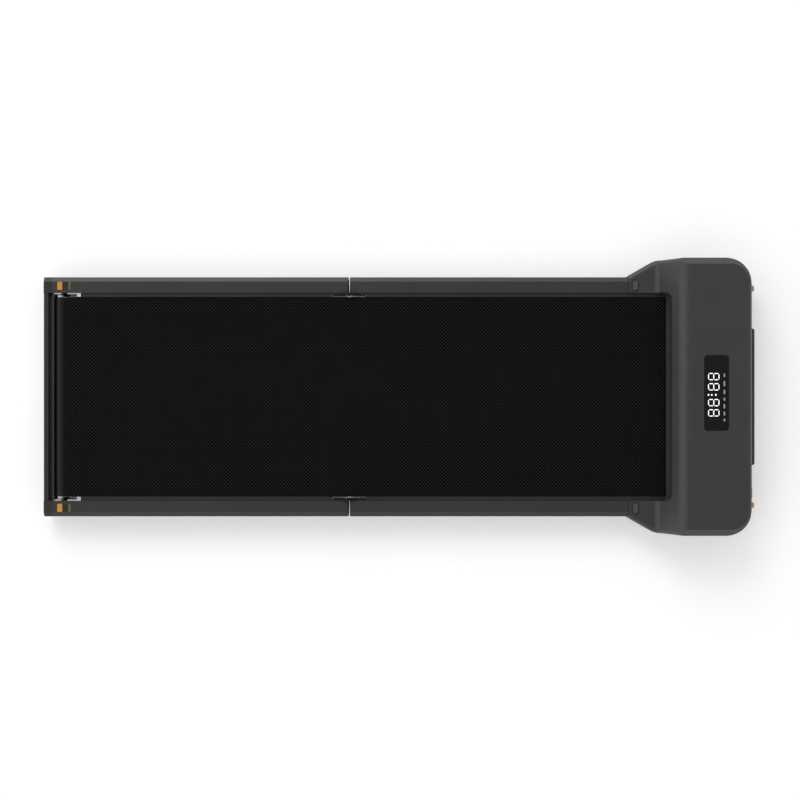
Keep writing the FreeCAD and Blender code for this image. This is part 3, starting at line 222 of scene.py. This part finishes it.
# Pale silver with a brushed softness.
bare_aluminium = grained_finish("bare aluminium", "#a9abae", "#c4c6c8", 1.5, (0.30, 0.48),
                                0.03, Metallic=1.0)
# Glossy black with a trace of orange peel.
motor_enamel = grained_finish("stoved enamel, black", "#1c1d1f", "#242528", 2.0, (0.25, 0.36),
                              0.04, IOR=1.5)
# Warm yellow with a drawn shine.
brass = grained_finish("brass strip", "#b08a3c", "#d0a850", 1.2, (0.22, 0.36),
                       0.02, Metallic=1.0)
print("metals:", zinc_plate.name, "and four more")

# %% [markdown]
# ## The rails' coat
# The rails are aluminium extrusions with a dark powder coat, which shows a faint orange peel and a
# satin sheen. The narrow ledge beside the belt lies in the belt's shade, and that shade is painted into
# the coat: the distance from the middle of the pad tells ledge from top, and it darkens the coat's colour there.

# %% Powder coat, with painted shade on the ledge
LEDGE_EDGE = 208.5 * MM
LEDGE_BLUR = 0.5 * MM
LEDGE_SHADE_SHARE = 0.6


def powder_coat_with_ledge_shade():
    finish, tree, shader = new_finish("powder-coated aluminium, dark grey", IOR=1.5)
    colour = grained(tree, shader, "#2d2d2e", "#333334", 2.4, (0.36, 0.46), 0.06)
    place = add(tree, "TexCoord")
    across = add(tree, "SeparateXYZ", {"Vector": place.outputs["Object"]})
    out = add(tree, "Math", {0: across.outputs["Y"]}, operation="ABSOLUTE")
    # Painted shade: the coat's colour is scaled down on the ledge beside the belt.
    ledge_shade = add(tree, "MapRange", {"Value": out.outputs[0], "From Min": LEDGE_EDGE - LEDGE_BLUR,
                                   "From Max": LEDGE_EDGE + LEDGE_BLUR, "To Min": LEDGE_SHADE_SHARE,
                                   "To Max": 1.0})
    coat = add(tree, "VectorMath", {0: colour.outputs[2], "Scale": ledge_shade.outputs["Result"]},
               operation="SCALE")
    tree.links.new(coat.outputs["Vector"], shader.inputs["Base Color"])
    return finish


rail_coat = powder_coat_with_ledge_shade()
print("ledge starts", round(LEDGE_EDGE / MM, 1), "mm from the middle")

# %% [markdown]
# ## Rubber and boards
# Bumper, feet and shoulder pads are EPDM rubber, and the wheel tyres are cast polyurethane. The
# decks are fibreboard under a dark film, and the display's circuit board is glass laminate.

# %% Rubber and boards
# Deep grey and very matte, with a dusty bloom.
epdm_rubber = grained_finish("EPDM rubber, dark grey", "#434345", "#4d4d4f", 1.8, (0.70, 0.86),
                             0.10, IOR=1.52, Specular_IOR_Level=0.35)
# Smooth and slightly waxy, so light sinks in a little.
orange_tyre = grained_finish("cast polyurethane, orange", "#b86530", "#c8743c", 2.2, (0.35, 0.50),
                             0.06, IOR=1.5, Subsurface_Weight=0.05)
# Dark brown under a satin film.
filmed_board = grained_finish("film-faced fibreboard", "#2a221c", "#372d25", 3.0, (0.35, 0.55),
                              0.05, IOR=1.5)
# Green with a lacquer's shine.
glass_laminate = grained_finish("glass-epoxy laminate, green", "#14401f", "#1d5a2c", 1.4,
                                (0.25, 0.40), 0.03, IOR=1.55)
print("rubber and boards:", epdm_rubber.name, "and three more")

# %% [markdown]
# ## The belt's finish
# A walking belt is woven polyester under a black PVC skin, embossed with small lozenges so that
# shoes grip. Two sets of straight waves, one along each diagonal, multiply into exactly such a
# lozenge field. The pattern has to go with the belt where it bends, so it reads the belt's own UV
# map, which counts metres along and across. The black valleys are painted shade, and the crowns
# are paler. The turn round the rear roller lies in the end bar's shade and would come out too dark,
# so painted light, a share of plain grey, is mixed in there.

# %% Embossed PVC
LOZENGE_MM = 4.95
WAVE_TURN = 2 * math.pi / 20
WEAR_MM = 60
WEAR_DETAIL = 3.0
WEAR_SHARES = (0.8, 1.2)
VALLEY_ROUGHNESS = 0.26
CROWN_ROUGHNESS = 0.18
EMBOSS_MM = 0.12
EMBOSS_STRENGTH = 0.5
TURN_STARTS = 8 * MM
TURN_FULL = 17 * MM
TURN_PAINTED_LIGHT_SHARE = 0.8

low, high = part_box("rear_belt")
wrap_radius = (high.z - low.z) / 2
rear_x = low.x + wrap_radius


def embossed_pvc():
    finish, tree, shader = new_finish("embossed PVC belt, black", IOR=1.5, Specular_IOR_Level=0.09)
    place = add(tree, "UVMap", uv_map="belt_travel").outputs["UV"]
    waves = []
    for angle in (45, -45):
        turned = add(tree, "Mapping", {"Vector": place, "Rotation": (0, 0, math.radians(angle))})
        waves.append(add(tree, "TexWave", {"Vector": turned.outputs[0],
                                           "Scale": WAVE_TURN / (LOZENGE_MM * MM)},
                         wave_type="BANDS", bands_direction="X"))
    lozenge = add(tree, "Math", {0: waves[0].outputs["Fac"], 1: waves[1].outputs["Fac"]},
                  operation="MULTIPLY").outputs[0]
    wear = add(tree, "TexNoise", {"Vector": place, "Scale": 1 / (WEAR_MM * MM),
                                  "Detail": WEAR_DETAIL})
    share = add(tree, "MapRange", {"Value": wear.outputs["Fac"], "To Min": WEAR_SHARES[0],
                                   "To Max": WEAR_SHARES[1]})
    # Painted shade: the lozenges' valleys get a near-black colour, their crowns a paler one.
    valley_shade_mix = add(tree, "Math", {0: lozenge, 1: share.outputs["Result"]}, operation="MULTIPLY")
    colour = add(tree, "Mix", {0: valley_shade_mix.outputs[0], 6: linear("#010101"), 7: linear("#2e2e2e")},
                 data_type="RGBA")
    along = add(tree, "SeparateXYZ", {"Vector": place})
    # Painted light: plain grey lightens the turn round the rear roller, which lies in the end bar's shade.
    turn = add(tree, "MapRange", {"Value": along.outputs["X"], "From Min": rear_x - TURN_FULL,
                                  "From Max": rear_x - TURN_STARTS, "To Min": TURN_PAINTED_LIGHT_SHARE,
                                  "To Max": 0.0})
    skin = add(tree, "Mix", {0: turn.outputs["Result"], 6: colour.outputs[2],
                             7: linear("#4d4d4d")}, data_type="RGBA")
    shine = add(tree, "MapRange", {"Value": lozenge, "To Min": VALLEY_ROUGHNESS,
                                   "To Max": CROWN_ROUGHNESS})
    bump = add(tree, "Bump", {"Height": lozenge, "Distance": EMBOSS_MM * MM,
                              "Strength": EMBOSS_STRENGTH})
    tree.links.new(skin.outputs[2], shader.inputs["Base Color"])
    tree.links.new(shine.outputs["Result"], shader.inputs["Roughness"])
    tree.links.new(bump.outputs["Normal"], shader.inputs["Normal"])
    return finish


belt_skin = embossed_pvc()
print("lozenges", LOZENGE_MM, "mm apart")

# %% [markdown]
# ## Finishes onto the solids
# The record names a material slot for every solid, so one table from slot to finish dresses the
# whole frame. Each solid keeps its mesh, and only the material in its slots changes.

# %% Dress the frame
finishes = {
    "hood_plastic": moulded_abs,
    "rail_metal": rail_coat,
    "cap_plastic": cap_abs,
    "belt_rubber": belt_skin,
    "deck_board": filmed_board,
    "dark_steel": black_steel,
    "bright_steel": zinc_plate,
    "black_rubber": epdm_rubber,
    "orange_tyre": orange_tyre,
    "hub_plastic": wheel_nylon,
    "lens_plastic": smoked_acrylic,
    "circuit_board": glass_laminate,
    "motor_paint": motor_enamel,
    "sink_aluminium": bare_aluminium,
    "black_plastic": black_nylon,
    "blade_brass": brass,
}
subparts = frame["record"]["subparts"]
for subpart in subparts:
    for material_slot in frame["nodes"][subpart["node"]].material_slots:
        material_slot.material = finishes[subpart["material_slot"]]
print("dressed", len(subparts), "solids in", len(finishes), "finishes")

# %% [markdown]
# ## Putting a piece on the pad
# Every new piece becomes one mesh object at the origin, takes one finish, and rides on the body
# that carries it. One helper does these steps, so that each piece below is only its shape. A second
# one makes the flat bars and films: a cube scaled to size, whose upright edges are bevelled.

# %% Piece helpers
def place_piece(name, shape, finish, body=None):
    """Makes an object of a bmesh, gives it its finish and slot, and lets it ride on a body."""
    bmesh.ops.recalc_face_normals(shape, faces=shape.faces)
    mesh = bpy.data.meshes.new(name)
    shape.to_mesh(mesh)
    shape.free()
    mesh.materials.append(finish)
    piece = bpy.data.objects.new(name, mesh)
    scene.collection.objects.link(piece)
    if body:
        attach(piece, body)
    print(name, len(mesh.polygons), "faces")
    return piece


def flat_bar(shape, centre, size, corner, segments=1):
    """Adds a flat bar of a size, with its upright edges bevelled by corner."""
    made = bmesh.ops.create_cube(shape, size=1)["verts"]
    bmesh.ops.scale(shape, verts=made, vec=size)
    bmesh.ops.translate(shape, verts=made, vec=centre)
    edges = dict.fromkeys(edge for vert in made for edge in vert.link_edges)
    upright = [edge for edge in edges
               if abs(edge.verts[0].co.z - edge.verts[1].co.z) > size[2] / 2]
    bmesh.ops.bevel(shape, geom=upright, offset=corner, affect="EDGES", segments=segments,
                    profile=0.5, material=-1)


# %% [markdown]
# ## The running belt
# The real belt is one loop round both end rollers, and it bends at the fold when the rear half
# swings over. It starts as one edge across the belt, above the rear roller. That edge is extruded
# along the top, spun round the front roller, extruded back underneath and spun round the rear
# roller, where it meets its start. The steps are short at the fold, so that the loop can curve
# there. A wall thickness is added last.

# %% Where the belt runs
BELT_THICKNESS = 1.8 * MM
FOLD_HALF = 6 * MM
FOLD_STEPS = 48
RUN_STEPS = 12
WRAP_STEPS = 24
MERGE_REACH = BELT_THICKNESS / 20

far_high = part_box("front_belt")[1]
hinge = Vector(joints["fold_hinge"]["pos_m"])
wrap_z = (high.z + low.z) / 2
front_x = far_high.x - wrap_radius
top_steps = [(hinge.x - FOLD_HALF - rear_x) / RUN_STEPS] * RUN_STEPS
top_steps += [2 * FOLD_HALF / FOLD_STEPS] * FOLD_STEPS
top_steps += [(front_x - hinge.x - FOLD_HALF) / RUN_STEPS] * RUN_STEPS
print("belt loop from", round(rear_x, 3), "to", round(front_x, 3), "m")


# %% Loop by extrusion and spin
def extruded(shape, edge, shift):
    """Extrudes an edge by a shift and returns the new edge."""
    grown = bmesh.ops.extrude_edge_only(shape, edges=[edge])["geom"]
    corners = [part for part in grown if isinstance(part, bmesh.types.BMVert)]
    bmesh.ops.translate(shape, verts=corners, vec=shift)
    return next(part for part in grown
                if isinstance(part, bmesh.types.BMEdge) and set(part.verts) == set(corners))


def spun(shape, edge, centre_x):
    """Spins an edge half a turn round a roller and returns the new edge."""
    turned = bmesh.ops.spin(shape, geom=[edge, *edge.verts], cent=(centre_x, 0, wrap_z),
                            axis=(0, 1, 0), angle=math.pi, steps=WRAP_STEPS)
    return next(part for part in turned["geom_last"] if isinstance(part, bmesh.types.BMEdge))


loop = bmesh.new()
edge = loop.edges.new([loop.verts.new((rear_x, y, high.z)) for y in (low.y, high.y)])
for step in top_steps:
    edge = extruded(loop, edge, (step, 0, 0))
edge = spun(loop, edge, front_x)
for step in reversed(top_steps):
    edge = extruded(loop, edge, (-step, 0, 0))
spun(loop, edge, rear_x)
bmesh.ops.remove_doubles(loop, verts=loop.verts, dist=MERGE_REACH)
bmesh.ops.recalc_face_normals(loop, faces=loop.faces)
bmesh.ops.solidify(loop, geom=loop.faces[:], thickness=BELT_THICKNESS)
print("belt loop of", len(loop.faces), "faces")

# %% [markdown]
# ## The belt's travel as UV
# The UV map counts metres along the belt and across it, so the lozenges keep their size round the
# rollers. When the pad is folded, the lower run swings round the hinge in a wide arc. Its short
# stretch at the fold therefore counts that arc's length too, in the same smooth share by which
# the bend is spread.

# %% Travel along the loop
def travel_along(x, z, on_rear_wrap):
    """Metres along the loop from the start of its top run, for a point on its skin."""
    if on_rear_wrap:
        return rear_x - wrap_radius * math.atan2(rear_x - x, z - wrap_z)
    if x > front_x:
        return front_x + wrap_radius * math.atan2(x - front_x, z - wrap_z)
    if z > wrap_z:
        return x
    share = min(max((hinge.x + FOLD_HALF - x) / (2 * FOLD_HALF), 0), 1)
    arc = math.pi * (hinge.z - low.z) * share * share * (3 - 2 * share)
    return front_x + wrap_radius * math.pi + front_x - x + arc


travel = loop.loops.layers.uv.new("belt_travel")
for face in loop.faces:
    on_rear_wrap = face.calc_center_median().x < rear_x
    for corner in face.loops:
        x, y, z = corner.vert.co
        corner[travel].uv = (travel_along(x, z, on_rear_wrap), y)
belt = place_piece("running_belt", loop, finishes["belt_rubber"])
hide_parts("front_belt", "rear_belt")
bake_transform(belt)

# %% [markdown]
# ## The readout
# Four seven-segment digits and a colon are lit in white. A segment is a flat bar with pointed ends,
# which a bevel of nearly half its width gives. Three cross bars and four long bars make an eight.
# On a real pad they shine through the window. Here the window is opaque, so the bars lie on it, a
# tenth of a millimetre thick.

# %% Digits and colon
SEGMENT_THICK = 0.12 * MM
DIGIT_HEIGHT = 22.1 * MM
DIGIT_WIDTH = 14.0 * MM
STROKE = 1.7 * MM
STROKE_GAP = 2.1 * MM
POINTED = 0.48
ROUNDED = 0.3
DIGIT_CENTRES_Y = [39.4 * MM, 19.4 * MM, -11.5 * MM, -31.6 * MM]
READOUT_BACK = 5.6 * MM
COLON_Y = 3.7 * MM
DOT_SHIFTS = [-10.4 * MM, -3.8 * MM, 4.0 * MM]
DOT_ACROSS = 3.2 * MM


def white_light_guide():
    """Milky polycarbonate over a light: it glows evenly, a little cool."""
    finish, tree, shader = new_finish("lit milky polycarbonate", Emission_Strength=0.6, IOR=1.58)
    colour = grained(tree, shader, "#f2f4f6", "#ffffff", 2.0, (0.35, 0.45), 0.01)
    tree.links.new(colour.outputs[2], shader.inputs["Emission Color"])
    return finish


window_low, window_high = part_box("display_lens")
readout_x = (window_low.x + window_high.x) / 2 - READOUT_BACK
bar_z = window_high.z + SEGMENT_THICK / 2
rise = (DIGIT_HEIGHT - STROKE) / 2
reach = (DIGIT_WIDTH - STROKE) / 2
cross_bar = (STROKE, 2 * reach - STROKE_GAP, SEGMENT_THICK)
long_bar = (rise - STROKE_GAP, STROKE, SEGMENT_THICK)
dot = (DOT_ACROSS, DOT_ACROSS, SEGMENT_THICK)
digits = bmesh.new()
for centre_y in DIGIT_CENTRES_Y:
    for level in (-1, 0, 1):
        flat_bar(digits, (readout_x + level * rise, centre_y, bar_z), cross_bar, STROKE * POINTED)
    for side in (-1, 1):
        for half in (-0.5, 0.5):
            middle = (readout_x + half * rise, centre_y + side * reach, bar_z)
            flat_bar(digits, middle, long_bar, STROKE * POINTED)
for shift in DOT_SHIFTS:
    flat_bar(digits, (readout_x + shift, COLON_Y, bar_z), dot, DOT_ACROSS * ROUNDED)
place_piece("readout_digits", digits, white_light_guide(), "front_half")

# %% [markdown]
# ## Marks beside the digits
# A column of small dashes beside the digits tells which value is on display. They are
# screen-printed on the window, so each is a thin flat bar in the dull white of ink.

# %% Dashes beside the digits
MARK_AHEAD = 20.8 * MM
MARK_THICK = 2.8 * MM
MARK_PLACES_Y = [41.9 * MM, 25.7 * MM, 9.5 * MM, -4.8 * MM, -18.6 * MM, -32.9 * MM, -45.7 * MM]
MARK_LENGTHS = [6.9 * MM, 10.6 * MM, 8.7 * MM, 6.2 * MM, 8.7 * MM, 7.5 * MM, 5.6 * MM]

# Thin, matte, and not quite white over the dark window.
printed_ink = grained_finish("screen-printed ink, pale grey", "#909295", "#a4a6a9", 1.0,
                             (0.55, 0.70), 0.01, IOR=1.5)
marks = bmesh.new()
for place_y, length in zip(MARK_PLACES_Y, MARK_LENGTHS):
    flat_bar(marks, (readout_x + MARK_AHEAD, place_y, bar_z),
             (MARK_THICK, length, SEGMENT_THICK), MARK_THICK * ROUNDED)
place_piece("readout_marks", marks, printed_ink, "front_half")

# %% [markdown]
# ## Patches on the rear rail ends
# Near the rear roller each rail carries a small patch of three plain films side by side: amber,
# dark brown and olive. Each is a flat bar, a fraction of a millimetre thick, with rounded corners.

# %% Films on the rails
FILM_THICK = 0.15 * MM
FILM_Y = 222.5 * MM
FILM_WIDTH = 16 * MM
FILM_CORNER = 1.2 * MM
FILM_CORNER_STEPS = 4


def vinyl_film(colour_name, dark, light):
    """Calendered vinyl: even colour under a satin skin."""
    return grained_finish("vinyl film, " + colour_name, dark, light, 1.5, (0.35, 0.48), 0.02,
                          IOR=1.53)


films = {
    "amber": (vinyl_film("amber", "#b97f22", "#cf942f"), -688 * MM, -678 * MM),
    "dark": (vinyl_film("dark brown", "#1c130f", "#251a15"), -677.4 * MM, -666 * MM),
    "olive": (vinyl_film("olive", "#5e5a1e", "#6e6a28"), -665.4 * MM, -661.6 * MM),
}
rail_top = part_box("left_rear_rail")[1].z
for side, label in ((1, "left"), (-1, "right")):
    for colour_name, (film, start, stop) in films.items():
        patch = bmesh.new()
        flat_bar(patch, ((start + stop) / 2, side * FILM_Y, rail_top + FILM_THICK / 2),
                 (stop - start, FILM_WIDTH, FILM_THICK), FILM_CORNER, FILM_CORNER_STEPS)
        place_piece(f"{label}_{colour_name}_film", patch, film, "rear_half")

# %% [markdown]
# ## Floor
# The pad lies on a white light table that rises to a backdrop far away. Milky acrylic lit from
# behind keeps a shadow pale. The glow is only for the eye: it shows to camera, mirror and glass
# rays, so it puts no light on the pad. It fades where the pad covers the floor closely, which
# ambient occlusion measures, or the narrow gaps would shine. Far from the pad it grows, so that the
# backdrop stays white from every side.

# %% White floor
FLOOR_SIZE = 40.0
BACKDROP_HEIGHT = 4.0
FLOOR_DROP = 0.2 * MM
TABLE_GLOW = 0.37
COVER_REACH = 0.3
COVER_ENDS = 0.06
COVER_SAMPLES = 16
FAR_STARTS = 1.5
FAR_FULL = 5.0
FAR_GLOW = 0.45


def light_table():
    """Opal acrylic: matte white that glows evenly."""
    finish, tree, shader = new_finish("opal acrylic, lit from behind", IOR=1.45,
                                      Specular_IOR_Level=0.0, Emission_Color=(1, 1, 1, 1))
    grained(tree, shader, "#dcdcdc", "#e0e0e0", 8.0, (0.85, 0.95), 0.0)
    around = add(tree, "AmbientOcclusion", {"Distance": COVER_REACH}, samples=COVER_SAMPLES)
    glow = add(tree, "MapRange", {"Value": around.outputs["AO"], "From Max": COVER_ENDS,
                                  "To Max": TABLE_GLOW}, interpolation_type="SMOOTHSTEP")
    place = add(tree, "TexCoord")
    away = add(tree, "VectorMath", {0: place.outputs["Object"]}, operation="LENGTH")
    far = add(tree, "MapRange", {"Value": away.outputs["Value"], "From Min": FAR_STARTS,
                                 "From Max": FAR_FULL, "To Max": FAR_GLOW})
    even = add(tree, "Math", {0: glow.outputs["Result"], 1: far.outputs["Result"]},
               operation="ADD")
    ray = add(tree, "LightPath").outputs
    mirrored = add(tree, "Math", {0: ray["Is Glossy Ray"], 1: ray["Is Transmission Ray"]},
                   operation="MAXIMUM")
    seen = add(tree, "Math", {0: ray["Is Camera Ray"], 1: mirrored.outputs[0]},
               operation="MAXIMUM")
    shown = add(tree, "Math", {0: even.outputs[0], 1: seen.outputs[0]}, operation="MULTIPLY")
    tree.links.new(shown.outputs[0], shader.inputs["Emission Strength"])
    return finish


ground = bmesh.new()
bmesh.ops.create_grid(ground, x_segments=1, y_segments=1, size=FLOOR_SIZE / 2)
sweep = bmesh.ops.extrude_edge_only(ground, edges=ground.edges[:])["geom"]
rim = [part for part in sweep if isinstance(part, bmesh.types.BMVert)]
bmesh.ops.translate(ground, verts=rim, vec=(0, 0, BACKDROP_HEIGHT))
bmesh.ops.translate(ground, verts=ground.verts, vec=(0, 0, -FLOOR_DROP))
bmesh.ops.recalc_face_normals(ground, faces=ground.faces)
floor_mesh = bpy.data.meshes.new("floor")
ground.to_mesh(floor_mesh)
ground.free()
floor_mesh.materials.append(light_table())
floor = bpy.data.objects.new("floor", floor_mesh)
scene.collection.objects.link(floor)
print("floor", FLOOR_SIZE, "m wide")

# %% [markdown]
# ## Light
# Bright walls stand all round and the ceiling behind the camera is dark: flat tops stay dark while
# every bevel picks up a light edge. A world whose light falls off towards the zenith gives just
# that. The walls are brighter at the rear and at the left, which models the ramp and the rails, and
# one large soft lamp from the rear left draws the faint shadow along the near edge.

# %% Bright walls and dark ceiling
WALL_LIGHT = 1.15
CEILING_LIGHT = 0.10
CEILING_STARTS = 0.84
CEILING_FULL = 0.96
REAR_TILT = 0.42
LEFT_TILT = 0.15

world = bpy.data.worlds.new("studio")
scene.world = world
world.use_nodes = True
studio = world.node_tree
studio.nodes.clear()
sky = add(studio, "TexCoord")
direction = add(studio, "SeparateXYZ", {"Vector": sky.outputs["Generated"]}).outputs
fall = add(studio, "MapRange", {"Value": direction["Z"], "From Min": CEILING_STARTS,
                                "From Max": CEILING_FULL, "To Min": WALL_LIGHT,
                                "To Max": CEILING_LIGHT}, interpolation_type="SMOOTHSTEP")
from_rear = add(studio, "Math", {0: direction["X"], 1: -REAR_TILT, 2: 1.0},
                operation="MULTIPLY_ADD")
from_left = add(studio, "Math", {0: direction["Y"], 1: LEFT_TILT, 2: from_rear.outputs[0]},
                operation="MULTIPLY_ADD")
strength = add(studio, "Math", {0: fall.outputs["Result"], 1: from_left.outputs[0]},
               operation="MULTIPLY")
walls = add(studio, "Background", {"Strength": strength.outputs[0]})
add(studio, "OutputWorld", {"Surface": walls.outputs[0]})
print("walls", WALL_LIGHT, "and ceiling", CEILING_LIGHT)

# %% One soft lamp
LAMP_PLACE = Vector((-1.8, 5.0, 4.6))
LAMP_SIZE = 3.6
LAMP_POWER = 150

lamp_data = bpy.data.lights.new("soft_lamp", "AREA")
lamp_data.size = LAMP_SIZE
lamp_data.energy = LAMP_POWER
lamp = bpy.data.objects.new("soft_lamp", lamp_data)
lamp.location = LAMP_PLACE
lamp.rotation_euler = (-LAMP_PLACE).to_track_quat("-Z", "Y").to_euler()
scene.collection.objects.link(lamp)
print("lamp", LAMP_POWER, "W,", LAMP_SIZE, "m wide")
